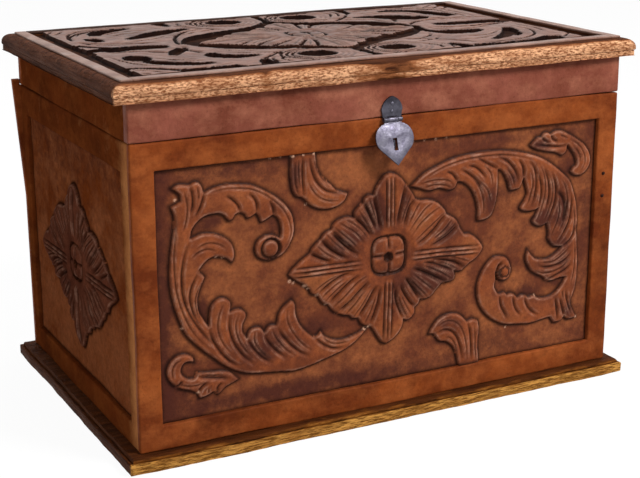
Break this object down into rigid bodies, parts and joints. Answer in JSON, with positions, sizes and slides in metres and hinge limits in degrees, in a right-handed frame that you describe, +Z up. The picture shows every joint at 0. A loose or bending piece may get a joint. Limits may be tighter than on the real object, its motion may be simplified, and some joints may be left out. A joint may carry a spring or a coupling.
{
  "type": "storage trunk",
  "caption": "Leather-clad wooden trunk for papers and keepsakes, with tooled ornament, moulded edges, a hinged lid and an iron hasp.",
  "frame": {"origin": "centre of the underside of the base board", "axes": "+X along the front from left to right, +Y from the front to the back, +Z up"},
  "size_m": [0.517, 0.3369, 0.3355],
  "materials": {
    "moulded_wood": "open-pored hardwood, stained dark on the sides and rubbed back to honey along the front edges",
    "carcass_wood": "plain sawn boards, unfinished inside",
    "frame_leather": "smooth waxed leather, mottled orange-brown",
    "tooled_leather": "tooled leather with darkened grooves and scuffed high places",
    "border_leather": "dark waxed leather with a dull sheen",
    "forged_iron": "hand-forged iron, worn bright on the flap",
    "hinge_iron": "blackened iron"
  },
  "bodies": {
    "trunk": {"back_panel": "frame_leather", "back_wall": "carcass_wood", "base_board": "moulded_wood", "box_hinge_screws": "hinge_iron", "floor_board": "carcass_wood", "frame_nails": "forged_iron", "front_bottom_rail": "frame_leather", "front_left_stile": "frame_leather", "front_right_stile": "frame_leather", "front_tooled_panel": "tooled_leather", "front_top_rail": "frame_leather", "front_wall": "carcass_wood", "hasp_staple": "forged_iron", "left_back_side_stile": "frame_leather", "left_bottom_side_rail": "frame_leather", "left_front_side_stile": "frame_leather", "left_hinge_box_leaf": "hinge_iron", "left_hinge_pin": "hinge_iron", "left_tooled_panel": "tooled_leather", "left_top_side_rail": "frame_leather", "left_wall": "carcass_wood", "right_back_side_stile": "frame_leather", "right_bottom_side_rail": "frame_leather", "right_front_side_stile": "frame_leather", "right_hinge_box_leaf": "hinge_iron", "right_hinge_pin": "hinge_iron", "right_tooled_panel": "tooled_leather", "right_top_side_rail": "frame_leather", "right_wall": "carcass_wood"},
    "lid": {"hasp_leaf": "forged_iron", "hasp_nails": "forged_iron", "hasp_pin": "forged_iron", "left_hinge_lid_leaf": "hinge_iron", "lid_back_border": "border_leather", "lid_back_rim": "frame_leather", "lid_board": "moulded_wood", "lid_front_border": "border_leather", "lid_front_rim": "frame_leather", "lid_hinge_screws": "hinge_iron", "lid_left_border": "border_leather", "lid_left_rim": "frame_leather", "lid_right_border": "border_leather", "lid_right_rim": "frame_leather", "lid_tooled_panel": "tooled_leather", "right_hinge_lid_leaf": "hinge_iron"},
    "hasp": {"hasp_flap": "forged_iron"}
  },
  "joints": [
    {"name": "lid_hinge", "type": "hinge", "parent": "trunk", "child": "lid", "pos_m": [0, 0.1593, 0.2823], "axis": [-1, 0, 0], "range_deg": [0, 165]},
    {"name": "hasp_hinge", "type": "hinge", "parent": "lid", "child": "hasp", "pos_m": [-0.0028, -0.1585, 0.2802], "axis": [-1, 0, 0], "range_deg": [-16.4, 150]}
  ]
}
